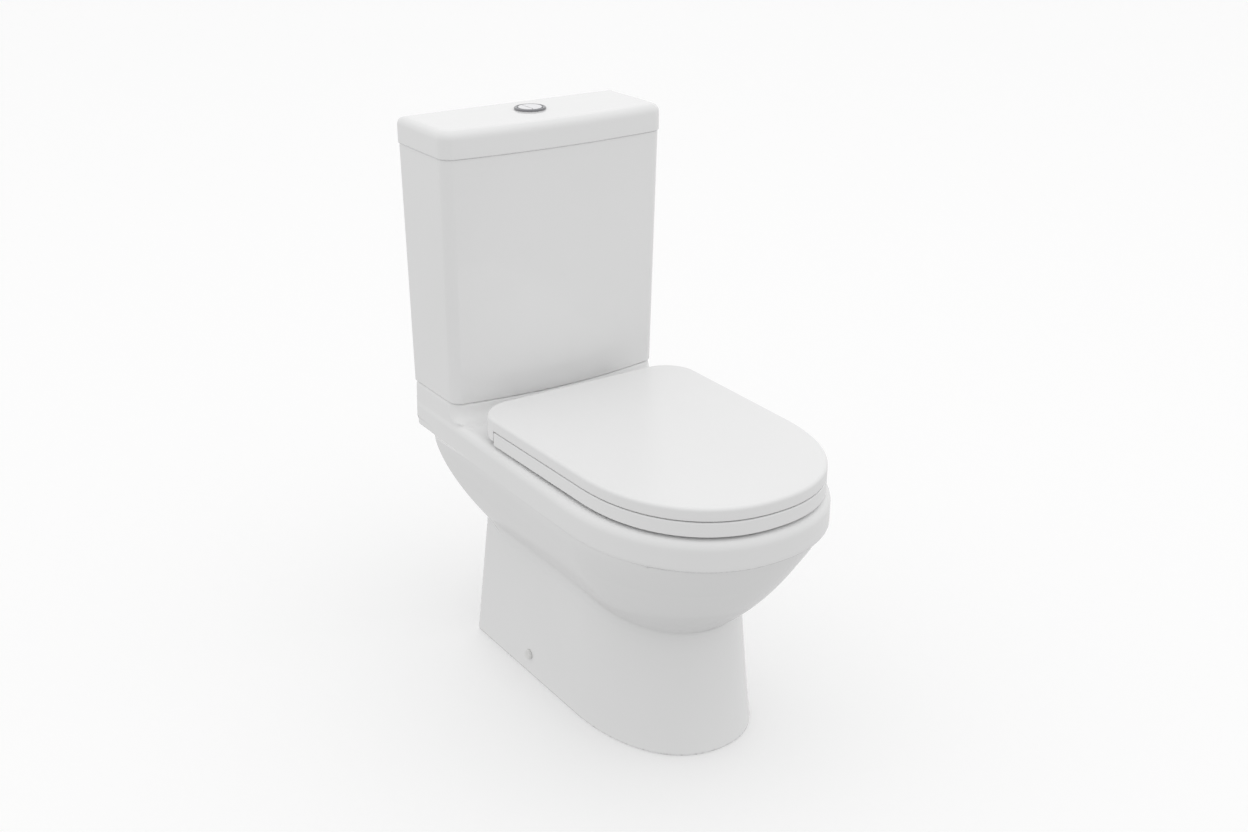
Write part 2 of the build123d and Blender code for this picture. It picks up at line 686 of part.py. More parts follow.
def floor_brackets():
    inside = FOOT_HALF - CERAMIC - 1.2
    near, far = BRACKET_DEPTH - 16, BRACKET_DEPTH + 16
    body = block(66, inside, near, far, 0, 6) + block(inside - 7, inside, near, far, 0, 50)
    body -= rod(4.5, -1, 8, 84, BRACKET_DEPTH)
    return pair(body - cross_pin(2, 90, 120, BRACKET_DEPTH, SIDE_SCREW_Z))


def side_screws():
    shank = cross_pin(1.95, 98, 122, BRACKET_DEPTH, SIDE_SCREW_Z)
    head = cross_pin(4.5, 121.3, 123, BRACKET_DEPTH, SIDE_SCREW_Z)
    return pair(shank + head)


def screw_caps():
    cap = cross_pin(7.5, 121.3, 125, BRACKET_DEPTH, SIDE_SCREW_Z)
    cap = fillet(cap.faces().sort_by(Axis.X)[-1].edges(), 2.0)
    return pair(cap - cross_pin(4.6, 120, 123.1, BRACKET_DEPTH, SIDE_SCREW_Z))


NODES = {
    "pan": pan,
    "cistern": cistern,
    "cistern_lid": cistern_lid,
    "button_bezel": button_bezel,
    "bezel_locknut": bezel_locknut,
    "full_flush_button": lambda: button("full"),
    "half_flush_button": lambda: button("half"),
    "full_button_spring": lambda: button_spring("full"),
    "half_button_spring": lambda: button_spring("half"),
    "flush_valve_body": flush_valve_body,
    "rocker_pin": rocker_pin,
    "flush_rocker": flush_rocker,
    "valve_tube": valve_tube,
    "valve_seal": valve_seal,
    "flush_valve_washer": flush_valve_washer,
    "flush_valve_backnut": flush_valve_backnut,
    "coupling_seal": coupling_seal,
    "fill_valve_body": fill_valve_body,
    "fill_valve_cap": fill_valve_cap,
    "lever_pin": lever_pin,
    "fill_valve_lever": fill_valve_lever,
    "float_cup": float_cup,
    "float_rod": float_rod,
    "fill_valve_washer": fill_valve_washer,
    "fill_valve_backnut": fill_valve_backnut,
    "coupling_bolts": coupling_bolts,
    "coupling_washers": coupling_washers,
    "coupling_steel_washers": coupling_steel_washers,
    "coupling_wing_nuts": coupling_wing_nuts,
    "seat_ring": seat_ring,
    "seat_buffers": seat_buffers,
    "seat_lid": seat_lid,
    "lid_buffers": lid_buffers,
    "hinge_posts": hinge_posts,
    "hinge_studs": hinge_studs,
    "hinge_pins": hinge_pins,
    "hinge_gaskets": hinge_gaskets,
    "hinge_washers": hinge_washers,
    "hinge_wing_nuts": hinge_wing_nuts,
    "floor_brackets": floor_brackets,
    "side_screws": side_screws,
    "screw_caps": screw_caps,
}

os.makedirs("parts", exist_ok=True)
for name, build in NODES.items():
    export_step(build(), f"parts/{name}.step")
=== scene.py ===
"""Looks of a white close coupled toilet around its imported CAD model.

Shape functions work in millimetres: x across, depth forward of the wall plane, z up. Meshes are
made in metres in the frame of the CAD model.
"""
import json
from math import atan2, cos, pi, radians, sin

import bmesh
import bpy
import numpy as np
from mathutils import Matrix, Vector


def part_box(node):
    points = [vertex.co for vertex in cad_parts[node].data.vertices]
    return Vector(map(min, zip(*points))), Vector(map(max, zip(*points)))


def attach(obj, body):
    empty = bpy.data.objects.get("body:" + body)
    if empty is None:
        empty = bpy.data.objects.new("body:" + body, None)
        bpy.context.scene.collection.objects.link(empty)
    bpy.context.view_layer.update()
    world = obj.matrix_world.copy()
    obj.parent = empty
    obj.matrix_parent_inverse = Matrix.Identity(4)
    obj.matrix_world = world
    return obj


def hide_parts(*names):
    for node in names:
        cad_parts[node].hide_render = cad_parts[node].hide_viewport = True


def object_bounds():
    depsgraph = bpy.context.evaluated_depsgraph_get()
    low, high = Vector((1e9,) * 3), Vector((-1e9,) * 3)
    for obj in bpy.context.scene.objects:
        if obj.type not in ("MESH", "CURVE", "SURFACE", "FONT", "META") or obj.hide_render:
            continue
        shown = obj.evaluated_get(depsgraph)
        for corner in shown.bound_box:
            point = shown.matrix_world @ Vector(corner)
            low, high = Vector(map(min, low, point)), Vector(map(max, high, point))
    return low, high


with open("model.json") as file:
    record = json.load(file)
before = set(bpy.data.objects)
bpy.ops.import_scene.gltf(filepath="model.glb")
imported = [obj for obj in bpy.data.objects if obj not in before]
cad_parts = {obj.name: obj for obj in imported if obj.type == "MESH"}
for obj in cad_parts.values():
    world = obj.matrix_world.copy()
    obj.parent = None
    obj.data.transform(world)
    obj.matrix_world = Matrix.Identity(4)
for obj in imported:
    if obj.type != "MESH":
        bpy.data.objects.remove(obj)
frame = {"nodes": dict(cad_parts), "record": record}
cad_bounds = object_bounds()

MM = 0.001
WALL_Y = cad_bounds[1][1]


def box_mm(node):
    """CAD box of a node as (x0, x1), (depth of front, depth of back), (z0, z1), in millimetres."""
    low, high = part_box(node)
    return (
        (low.x / MM, high.x / MM),
        ((WALL_Y - low.y) / MM, (WALL_Y - high.y) / MM),
        (low.z / MM, high.z / MM),
    )


# ---- sizes read from the frame ----
PAN_X, PAN_DEPTH, PAN_Z = box_mm("pan")
CISTERN_X, CISTERN_DEPTH, CISTERN_Z = box_mm("cistern")
CAP_X, _, CAP_Z = box_mm("cistern_lid")
RING_BOTTOM = box_mm("seat_ring")[2][0]
LID_X, LID_DEPTH, LID_Z = box_mm("seat_lid")
BEZEL_X, BEZEL_DEPTH, BEZEL_Z = box_mm("button_bezel")

# ---- pan ----
PROJECTION = PAN_DEPTH[0]
DECK_Z = PAN_Z[1]
RIM_Z = DECK_Z - 25
CREASE_Z = RIM_Z - 42
RIM_HALF = PAN_X[1]
RIM_BACK_HALF = 174.0
RIM_STRAIGHT = 427.0
NOSE_POWER = 2.2
FOOT_HALF = 121.4
FOOT_STRAIGHT = 352.0
FOOT_TIP = 534.5
FOOT_POWER = 2.23
FOOT_TOP_Z = 212.0
FOOT_END_Z = 222.0            # the foot runs up into the hull to here
HULL_END_Z = 130.5
HULL_MIDDLE = 390.0
HULL_BACK = 51.7
HULL_STRAIGHT = 432.0
WALL = 11.0
COVE = DECK_Z - RIM_Z
DECK_HALF = 174.0
DECK_BOTTOM = 345.0
DUCT_Z = 346.0                # duct from the flush port to the rim
SPIGOT_R = 51.0
SPIGOT_END = 65.0
TRAP_LINE = [(345.0, 118.0), (262.0, 108.0), (205.0, 236.0), (150.0, 181.0), (80.0, 181.0)]
TRAP_BORE = 38.0
VALVE_DEPTH = 75.0
OPEN = -60.0                  # depth that runs past the wall plane
GRID_STEP = 3.0               # mesh size of the pan

# height, half width, back, widest depth and tip of the bowl, from the rim down
BOWL = np.array([
    (381, 132, 258, 425, 606),
    (350, 135, 256, 425, 607),
    (315, 128, 258, 420, 592),
    (270, 104, 265, 405, 550),
    (225, 76, 275, 385, 492),
    (180, 54, 286, 365, 438),
    (130, 41, 296, 345, 396),
    (84, 36, 303, 340, 377),
])[::-1]

# ---- cistern ----
BOWED_FRONT = (140.6, CISTERN_DEPTH[0])        # depth at the bottom and at the top
BOWED_CORNER = (121.0, 133.5)
BOWED_HALF = (172.3, CISTERN_X[1])
CORNER_ROUND = 20.0

# ---- seat ----
SEAT_HALF = 167.3
SEAT_BACK_HALF = LID_X[1]
SEAT_STRAIGHT = 441.6
SEAT_TIP = LID_DEPTH[0]
SEAT_POWER = 2.22
RING_TOP = 404.0
RING_BACK = 207.0
RING_CORNER = 24.0
RING_TUCK = 9.0
LID_BACK = LID_DEPTH[1]
LID_CORNER = 50.0
LID_UNDER = 405.5
WRAP_END = 233.0              # the lid's sides wrap down over the ring up to here
OPENING = (108.0, 286.0, 430.0, 588.0)         # half width, back, widest depth, tip
HINGE_DEPTH = 192.0
HINGE_Z = 398.0
LUG_R = 7.5
PIN_BORE = 4.1
LID_LUG = (53, 62)            # x of the two faces of a lug
RING_LUG = (92, 101)
NOTCH = (61, 104)             # x of the lid's cut-out round a hinge post


# ---- fields: negative inside, about a distance near the surface ----

def blend_min(a, b, k):
    """Union of two fields with a soft fillet."""
    h = np.clip(0.5 + 0.5 * (b - a) / k, 0, 1)
    return b * (1 - h) + a * h - k * h * (1 - h)


def blend_max(a, b, k):
    """Intersection of two fields with a soft edge."""
    return -blend_min(-a, -b, k)


def round_and(a, b, r):
    """Intersection of two fields whose edge is a round of radius r."""
    return np.minimum(np.maximum(a, b), -r) + np.hypot(np.maximum(a + r, 0), np.maximum(b + r, 0))


def oval_field(x, ahead, half, reach, power):
    """Superellipse quadrant distance from its two half axes."""
    a = np.abs(x) / half + 1e-9
    b = np.abs(ahead) / reach + 1e-9
    size = (a ** power + b ** power) ** (1 / power)
    slope = size ** (1 - power) * np.hypot(a ** (power - 1) / half, b ** (power - 1) / reach)
    return (size - 1) / slope


def d_field(x, depth, half, straight, tip, back, back_half, corner, power):
    """D-shaped outline: flat back, straight sides, superellipse nose."""
    side_half = half + (back_half - half) * np.clip((straight - depth) / (straight - back), 0, 1)
    side = np.abs(x) - side_half
    nose = oval_field(x, depth - straight, half, tip - straight, power)
    return round_and(np.where(depth > straight, nose, side), back - depth, corner)


def hull_field(x, depth, z, inset=0.0, open_back=False):
    """Boat-shaped body under the rim that closes towards a point below it."""
    t = np.clip((CREASE_Z - z) / (CREASE_Z - HULL_END_Z), 0, 0.96)
    half = (RIM_HALF - 1.5) * np.sqrt(1 - t ** 1.3) - inset
    tip = HULL_MIDDLE + (PROJECTION - 8 - HULL_MIDDLE) * np.sqrt(1 - t ** 1.12) - 1.25 * inset
    back = HULL_MIDDLE - (HULL_MIDDLE - HULL_BACK) * np.sqrt(1 - t ** 1.92)
    straight = HULL_MIDDLE + (HULL_STRAIGHT - HULL_MIDDLE) * (1 - t) ** 0.7
    straight = np.minimum(straight, tip - 5)
    power = NOSE_POWER - 0.15 * np.minimum(1, 4 * t)
    corner = 20.0
    if open_back:
        back, corner = OPEN, 2.0
    return d_field(x, depth, half, straight, tip, back, half, corner, power)


def foot_field(x, depth, z, inset=0.0, open_back=False):
    """Skirted pedestal, a little wider and longer at the floor."""
    k = z / FOOT_TOP_Z
    half = FOOT_HALF - 2.9 * k - inset
    tip = FOOT_TIP - 33.0 * k + 6.5 * (1 - np.clip(k, 0, 1)) ** 3 - inset
    back = OPEN if open_back else 69.5 + 38.5 * k
    return d_field(x, depth, half, FOOT_STRAIGHT, tip, back, half, 4.0, FOOT_POWER)


def rim_field(x, depth, z):
    """Band round the top, with a rounded upper edge."""
    outline = d_field(
        x, depth, RIM_HALF, RIM_STRAIGHT, PROJECTION, 2.0, RIM_BACK_HALF, 8.0, NOSE_POWER
    )
    top = round_and(outline, z - RIM_Z, 13.0)
    both = round_and(top, CREASE_Z - z, 3.0)
    heel = round_and(2.0 - depth, CREASE_Z - z, 8.0)
    return np.maximum(both, heel)


def deck_field(x, depth, z):
    """Raised deck that the cistern stands on, with a concave step down to the rim."""
    rise = np.clip(z - RIM_Z, 0, COVE)
    swell = COVE - np.sqrt(COVE ** 2 - (COVE - rise) ** 2)
    half = DECK_HALF - 1.7 * (z - DECK_BOTTOM) / (DECK_Z - DECK_BOTTOM)
    front = BOWED_CORNER[0] + (BOWED_FRONT[0] - BOWED_CORNER[0]) * (1 - (x / half) ** 2)
    outline = round_and(np.abs(x) - half, depth - front - swell, CORNER_ROUND)
    outline = round_and(outline, -depth, 5.0)
    return np.maximum(round_and(outline, z - DECK_Z, 3.0), 350 - z)


def through(z, heights, values):
    """Smooth curve through points, with finite-difference slopes."""
    slopes = np.gradient(values, heights)
    i = np.clip(np.searchsorted(heights, z) - 1, 0, len(heights) - 2)
    gap = heights[i + 1] - heights[i]
    t = np.clip((z - heights[i]) / gap, 0, 1)
    t2, t3 = t * t, t * t * t
    start = (2 * t3 - 3 * t2 + 1) * values[i] + (t3 - 2 * t2 + t) * gap * slopes[i]
    return start + (3 * t2 - 2 * t3) * values[i + 1] + (t3 - t2) * gap * slopes[i + 1]


def bowl_field(x, depth, z, wall=0.0):
    half, back, centre, tip = (through(z, BOWL[:, 0], BOWL[:, i]) for i in range(1, 5))
    reach = np.where(depth > centre, tip - centre, centre - back) + wall
    oval = oval_field(x, depth - centre, half + wall, reach, 2.0)
    return round_and(oval, BOWL[0, 0] - wall - z, 22.0)


def capsule_field(x, depth, z, start, end, radius):
    """Round-ended pipe in the symmetry plane between two (depth, height) points."""
    (d0, z0), (d1, z1) = start, end
    along = ((depth - d0) * (d1 - d0) + (z - z0) * (z1 - z0)) / ((d1 - d0) ** 2 + (z1 - z0) ** 2)
    along = np.clip(along, 0, 1)
    gap = (depth - d0 - along * (d1 - d0)) ** 2 + (z - z0 - along * (z1 - z0)) ** 2
    return np.sqrt(x ** 2 + gap) - radius


def trap_field(x, depth, z, radius):
    """Trapway along its line."""
    runs = [capsule_field(x, depth, z, a, b, radius) for a, b in zip(TRAP_LINE, TRAP_LINE[1:])]
    return np.minimum.reduce(runs)


def upright_field(x, depth, z, radius, z0, z1):
    """Upright drum on the flush valve's axis."""
    side = np.hypot(x, depth - VALVE_DEPTH) - radius
    return round_and(side, np.maximum(z0 - z, z - z1), 2.0)


def spigot_field(x, depth, z, radius, end):
    """Waste spigot towards the wall."""
    side = np.hypot(x, z - TRAP_LINE[-1][1]) - radius
    return round_and(side, np.maximum(end - depth, depth - 130), 3.0)


def pan_field(x, depth, z):
    """The whole casting: outside, less the hollow behind it, plus bowl and trapway, less their ways."""
    hull = np.maximum(hull_field(x, depth, z), z - CREASE_Z - 1)
    foot = np.maximum(foot_field(x, depth, z), z - FOOT_END_Z)
    solid = blend_min(hull, foot, 13.0)
    solid = round_and(solid, -z, 3.0)
    solid = blend_min(solid, rim_field(x, depth, z), 2.0)
    solid = blend_min(solid, deck_field(x, depth, z), 1.5)

    foot_space = np.maximum(foot_field(x, depth, z, WALL, True), z - FOOT_END_Z)
    hull_space = np.maximum(hull_field(x, depth, z, WALL, True), z - CREASE_Z - 3)
    rim_space = d_field(
        x, depth, RIM_HALF - 14, RIM_STRAIGHT, PROJECTION - 15, OPEN, RIM_BACK_HALF - 12, 4.0, NOSE_POWER
    )
    rim_space = round_and(rim_space, np.maximum(z - RIM_Z + 13, CREASE_Z - 3 - z), 4.0)
    deck_space = round_and(np.abs(x) - 161.5, depth - 122, 8.0)
    deck_space = round_and(deck_space, np.maximum(z - DECK_Z + 12, 340 - z), 4.0)
    space = np.minimum.reduce([foot_space, hull_space, rim_space, deck_space])
    solid = blend_max(solid, -space, 5.0)

    bowl = np.maximum(bowl_field(x, depth, z, WALL), z - RIM_Z + 6)
    cup = upright_field(x, depth, z, 56.5, RIM_Z - 12, DECK_Z - 4)
    duct = capsule_field(x, depth, z, (VALVE_DEPTH, DUCT_Z), (256, DUCT_Z), 24)
    inner = blend_min(bowl, trap_field(x, depth, z, TRAP_BORE + 9), 14.0)
    inner = blend_min(inner, duct, 8.0)
    inner = blend_min(inner, spigot_field(x, depth, z, SPIGOT_R, SPIGOT_END), 3.0)
    solid = blend_min(solid, blend_min(inner, cup, 6.0), 5.0)

    ways = [
        trap_field(x, depth, z, TRAP_BORE),
        spigot_field(x, depth, z, SPIGOT_R - 9, SPIGOT_END - 10),
        upright_field(x, depth, z, 47.5, RIM_Z - 2, DECK_Z + 9),
        upright_field(x, depth, z, 28, 328, RIM_Z + 4),
        capsule_field(x, depth, z, (VALVE_DEPTH, DUCT_Z), (275, DUCT_Z), 16),
    ]
    solid = blend_max(solid, -np.minimum.reduce(ways), 4.0)
    return blend_max(solid, -bowl_field(x, depth, z), 12.0)


# ---- meshes ----

def to_metres(points):
    """From (x, depth, z) in millimetres to the frame."""
    points = np.asarray(points, float)
    return np.stack([points[:, 0] * MM, WALL_Y - points[:, 1] * MM, points[:, 2] * MM], 1)


def new_piece(name, points, faces, body, slot):
    """Mesh object in the frame that rides on a body, with outward normals and smooth shading."""
    mesh = bpy.data.meshes.new(name)
    mesh.from_pydata(to_metres(points).tolist(), [], [list(map(int, f)) for f in faces])
    mesh.validate()
    mesh.polygons.foreach_set("use_smooth", [True] * len(mesh.polygons))
    piece = bpy.data.objects.new(name, mesh)
    bpy.context.scene.collection.objects.link(piece)
    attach(piece, body)
    return piece


def gradient(field, points, reach=0.05):
    """Slope of a field at points, from central differences."""
    slopes = []
    for axis in range(3):
        shift = np.zeros(3)
        shift[axis] = reach
        slopes.append((field(*(points + shift).T) - field(*(points - shift).T)) / (2 * reach))
    return np.stack(slopes, 1)


def skin(field, high, front, step):
    """Quad mesh of the surface of a field that is symmetric in x.

    One point per crossed cell of a grid over the right half, pulled onto the surface, then
    mirrored. The first column of cells stands on the plane of symmetry.
    """
    low = np.array([-step / 2, -2 * step, -2 * step])
    axes = [np.arange(a, b + step, step) for a, b in zip(low, (high[0], front, high[1]))]
    inside = field(*np.meshgrid(*axes, indexing="ij")) < 0
    cells = tuple(n - 1 for n in inside.shape)
    count = np.zeros(cells, int)
    for i in (0, 1):
        for j in (0, 1):
            for k in (0, 1):
                count += inside[i:i + cells[0], j:j + cells[1], k:k + cells[2]]
    crossed = (count > 0) & (count < 8)
    number = np.full(cells, -1)
    number[crossed] = np.arange(crossed.sum())
    places = np.argwhere(crossed)
    middle = places[:, 0] == 0
    points = (places + 0.5) * step + low
    for _ in range(5):
        slope = gradient(field, points)
        move = -field(*points.T)[:, None] * slope / ((slope ** 2).sum(1, keepdims=True) + 1e-9)
        length = np.linalg.norm(move, axis=1, keepdims=True)
        points += move * np.minimum(1, 0.7 * step / (length + 1e-9))
        points[middle, 0] = 0
    faces = []
    for axis in range(3):
        order = [axis, (axis + 1) % 3, (axis + 2) % 3]
        solid = np.transpose(inside, order)
        cell = np.transpose(number, order)
        first = solid[:-1, 1:-1, 1:-1]
        second = solid[1:, 1:-1, 1:-1]
        i, j, k = np.nonzero(first != second)
        quads = np.stack([cell[i, j, k], cell[i, j + 1, k], cell[i, j + 1, k + 1], cell[i, j, k + 1]], 1)
        leaving = first[i, j, k]
        # depth runs against y, so the winding that points outwards is the mirrored one
        faces.append(np.where(leaving[:, None], quads[:, ::-1], quads))
    faces = np.concatenate(faces)
    normals = gradient(field, points, 0.3)
    twin = np.arange(len(points))
    twin[~middle] = len(points) + np.arange((~middle).sum())
    across = np.array([-1, 1, 1])
    points = np.concatenate([points, points[~middle] * across])
    normals = np.concatenate([normals, normals[~middle] * across])
    return points, np.concatenate([faces, twin[faces[:, ::-1]]]), normals


def shade_with(piece, normals):
    """Shades a piece by the exact normals of its surface, given in (x, depth, z)."""
    normals = normals * np.array([1, -1, 1])
    normals /= np.linalg.norm(normals, axis=1, keepdims=True) + 1e-9
    piece.data.normals_split_custom_set_from_vertices(normals.tolist())


def ladder(loops, first_cap=False, last_cap=False, ring=False):
    """Points and faces of a surface through equal closed loops."""
    size = len(loops[0])
    pairs = list(zip(range(len(loops) - 1), range(1, len(loops))))
    if ring:
        pairs.append((len(loops) - 1, 0))
    faces = []
    for low, high in pairs:
        for i in range(size):
            j = (i + 1) % size
            faces.append((low * size + i, low * size + j, high * size + j, high * size + i))
    if first_cap:
        faces.append(tuple(range(size))[::-1])
    if last_cap:
        faces.append(tuple((len(loops) - 1) * size + i for i in range(size)))
    return np.concatenate(loops), faces


def joined(parts):
    """Several (points, faces) as one."""
    points, faces, count = [], [], 0
    for more_points, more_faces in parts:
        points.append(np.asarray(more_points, float))
        faces += [tuple(int(i) + count for i in f) for f in more_faces]
        count += len(more_points)
    return np.concatenate(points), faces


def round_steps(radius, steps=6):
    """(inset, drop) along a quarter round, from the side to the flat."""
    angles = [pi / 2 * i / steps for i in range(steps + 1)]
    return [(radius * (1 - cos(a)), radius * (1 - sin(a))) for a in angles]


def seat_loop(inset, z, back, corner, tuck=0.0):
    """Closed D-shaped loop; z is one height or a function of the depth.

    Behind the lid's side wraps the loop is drawn in by tuck.
    """
    half, tip = SEAT_HALF - inset, SEAT_TIP - inset
    right = []
    for i in range(33):
        a = pi / 2 * i / 32
        ahead = (tip - SEAT_STRAIGHT) * cos(a) ** (2 / SEAT_POWER)
        right.append((half * sin(a) ** (2 / SEAT_POWER), SEAT_STRAIGHT + ahead))
    for ahead in (160, 120, 80, 50, 30, 15, 7, 3, 1.8, 1.4, 0.2, -0.2, -1, -1.8):
        depth = WRAP_END + ahead
        k = (SEAT_STRAIGHT - depth) / (SEAT_STRAIGHT - LID_BACK)
        drawn_in = inset + (tuck if ahead < 1.5 else 0)
        right.append((SEAT_HALF + (SEAT_BACK_HALF - SEAT_HALF) * k - drawn_in, depth))
    side = right[-1][0]
    back, corner = back + inset, corner - inset
    for i in range(1, 17):
        a = pi / 2 * i / 16
        right.append((side - corner * (1 - cos(a)), back + corner * (1 - sin(a))))
    for k in (0.8, 0.6, 0.4, 0.2):
        right.append(((side - corner) * k, back))
    loop = right + [(0.0, back)] + [(-x, d) for x, d in reversed(right)][:-1]
    loop = np.array(loop)
    heights = z(loop[:, 1]) if callable(z) else np.full(len(loop), float(z))
    return np.column_stack([loop, heights])


def oval_loop(guide, outset, z):
    """The seat's opening, sampled in the directions of a guide loop."""
    half, back, centre, tip = OPENING
    a = np.arctan2(guide[:, 0] / half, (guide[:, 1] - centre) / (tip - centre))
    reach = np.where(np.cos(a) > 0, tip - centre, centre - back) + outset
    return np.column_stack([
        (half + outset) * np.sin(a), centre + reach * np.cos(a), np.full(len(a), float(z))
    ])


def bowed_loop(inset, z):
    """Cistern outline at height z: flat back, bowed front, rounded corners."""
    k = np.clip((z - CISTERN_Z[0]) / (CISTERN_Z[1] - CISTERN_Z[0]), 0, 1)
    half, front, corner = (
        pair[0] + (pair[1] - pair[0]) * k - inset for pair in (BOWED_HALF, BOWED_FRONT, BOWED_CORNER)
    )
    r = max(CORNER_ROUND - inset, 2.0)
    heel = max(1.5 - max(inset, 0), 0.5)
    right = []
    for i in range(17):
        x = (half - r) * i / 16
        right.append((x, corner + (front - corner) * (1 - (x / half) ** 2)))
    x0, d0 = right[-1]
    lean = atan2(2 * (front - corner) * x0 / half ** 2, 1)
    for i in range(1, 11):
        a = pi / 2 - lean - (pi / 2 - lean) * i / 10
        right.append((half - r + r * cos(a), d0 - r * cos(lean) + r * sin(a)))
    d1 = right[-1][1]
    back = max(inset, 0.0)
    for k in (0.75, 0.5, 0.25):
        right.append((half, back + heel + (d1 - back - heel) * k))
    for i in range(7):
        a = pi / 2 * i / 6
        right.append((half - heel * (1 - cos(a)), back + heel * (1 - sin(a))))
    for k in (0.75, 0.5, 0.25):
        right.append(((half - heel) * k, back))
    loop = right + [(0.0, back)] + [(-x, d) for x, d in reversed(right)][:-1]
    return np.column_stack([np.array(loop), np.full(len(loop), float(z))])


def lathe(profile, x, depth, steps=72):
    """Closed shape turned about an upright axis, from (radius, z) points."""
    loops = []
    for radius, z in profile:
        a = 2 * pi * np.arange(steps) / steps
        loops.append(np.column_stack([
            x + radius * np.cos(a), depth - radius * np.sin(a), np.full(steps, float(z))
        ]))
    return ladder(loops, ring=True)


def brick(x0, x1, depth0, depth1, z0, z1):
    """Closed box between two corners."""
    corners = [(x, d, z) for z in (z0, z1) for x, d in
               ((x0, depth0), (x1, depth0), (x1, depth1), (x0, depth1))]
    faces = [(0, 1, 2, 3), (7, 6, 5, 4), (0, 4, 5, 1), (1, 5, 6, 2), (2, 6, 7, 3), (3, 7, 4, 0)]
    return np.array(corners, float), faces


def cross_drum(radius, bore, x0, x1, steps=32):
    """Ring-shaped lug on the hinge line."""
    loops = []
    for r, x in ((radius, x0 + 0.8), (radius - 0.8, x0), (bore, x0), (bore, x1),
                 (radius - 0.8, x1), (radius, x1 - 0.8)):
        a = 2 * pi * np.arange(steps) / steps
        loops.append(np.column_stack([
            np.full(steps, float(x)), HINGE_DEPTH + r * np.cos(a), HINGE_Z + r * np.sin(a)
        ]))
    return ladder(loops, ring=True)


def tidy_normals(piece, sharp=35):
    """Outward normals, edges sharper than an angle kept crisp, flats kept flat."""
    work = bmesh.new()
    work.from_mesh(piece.data)
    bmesh.ops.recalc_face_normals(work, faces=work.faces)
    for edge in work.edges:
        if len(edge.link_faces) == 2 and edge.calc_face_angle(0) > radians(sharp):
            edge.smooth = False
    work.to_mesh(piece.data)
    work.free()
    flat = piece.modifiers.new("flats", "WEIGHTED_NORMAL")
    flat.keep_sharp = True


def make_pan():
    points, faces, normals = skin(pan_field, (RIM_HALF + 6, DECK_Z + 6), PROJECTION + 6, GRID_STEP)
    pan = new_piece("pan_casting", points, faces, "pan_body", "ceramic")
    shade_with(pan, normals)
    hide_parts("pan")


def make_cistern():
    z0, z1 = CISTERN_Z
    loops = [bowed_loop(9, z0 + 12)]
    loops += [bowed_loop(9, z) for z in (z0 + 60, z1 - 4)]
    loops += [bowed_loop(9 - i, z1 - d) for i, d in reversed(round_steps(2.0, 4))]
    loops += [bowed_loop(i, z1 - d) for i, d in reversed(round_steps(2.0, 4))]
    loops += [bowed_loop(0, z0 + (z1 - z0) * k) for k in (0.9, 0.75, 0.5, 0.25, 0.1)]
    loops += [bowed_loop(i, z0 + d) for i, d in round_steps(3.0, 5)]
    points, faces = ladder(loops, first_cap=True, last_cap=True)
    cistern = new_piece("cistern_casting", points, faces, "pan_body", "ceramic")
    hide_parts("cistern")
    tidy_normals(cistern)


def make_cistern_lid():
    z0, z1 = CAP_Z[0] + 8, CAP_Z[1]
    proud = CAP_X[1] - BOWED_HALF[1]

    def loop(inset, z):
        return bowed_loop(inset - proud, z)

    loops = [loop(30, z1 - 10), loop(20, z1 - 10), loop(18, z1 - 12), loop(18, z0 + 1), loop(17, z0)]
    loops += [loop(i, z0 + d) for i, d in reversed(round_steps(2.0, 4))]
    loops += [loop(0, z0 + 10), loop(0, z0 + 20)]
    loops += [loop(i, z1 - d) for i, d in round_steps(12.0, 11)]
    loops += [loop(16, z1), loop(26, z1)]
    points, faces = ladder(loops, first_cap=True, last_cap=True)
    cap = new_piece("cistern_lid_casting", points, faces, "pan_body", "ceramic")
    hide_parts("cistern_lid")
    tidy_normals(cap)


def lid_bottom(depth):
    """Underside of the lid, which wraps down over the hinges at the back."""
    return np.where(depth < WRAP_END, LID_Z[0], LID_UNDER)


def cut_boxes(piece, boxes):
    """Cuts boxes out of a piece."""
    points, faces = joined(boxes)
    tool_mesh = bpy.data.meshes.new("cutter")
    tool_mesh.from_pydata(to_metres(points).tolist(), [], faces)
    tool = bpy.data.objects.new("cutter", tool_mesh)
    bpy.context.scene.collection.objects.link(tool)
    cut = piece.modifiers.new("cut", "BOOLEAN")
    cut.operation = "DIFFERENCE"
    cut.solver = "EXACT"
    cut.object = tool
    bpy.context.view_layer.update()
    result = bpy.data.meshes.new_from_object(
        piece.evaluated_get(bpy.context.evaluated_depsgraph_get())
    )
    piece.modifiers.remove(cut)
    piece.data = result
    bpy.data.objects.remove(tool)


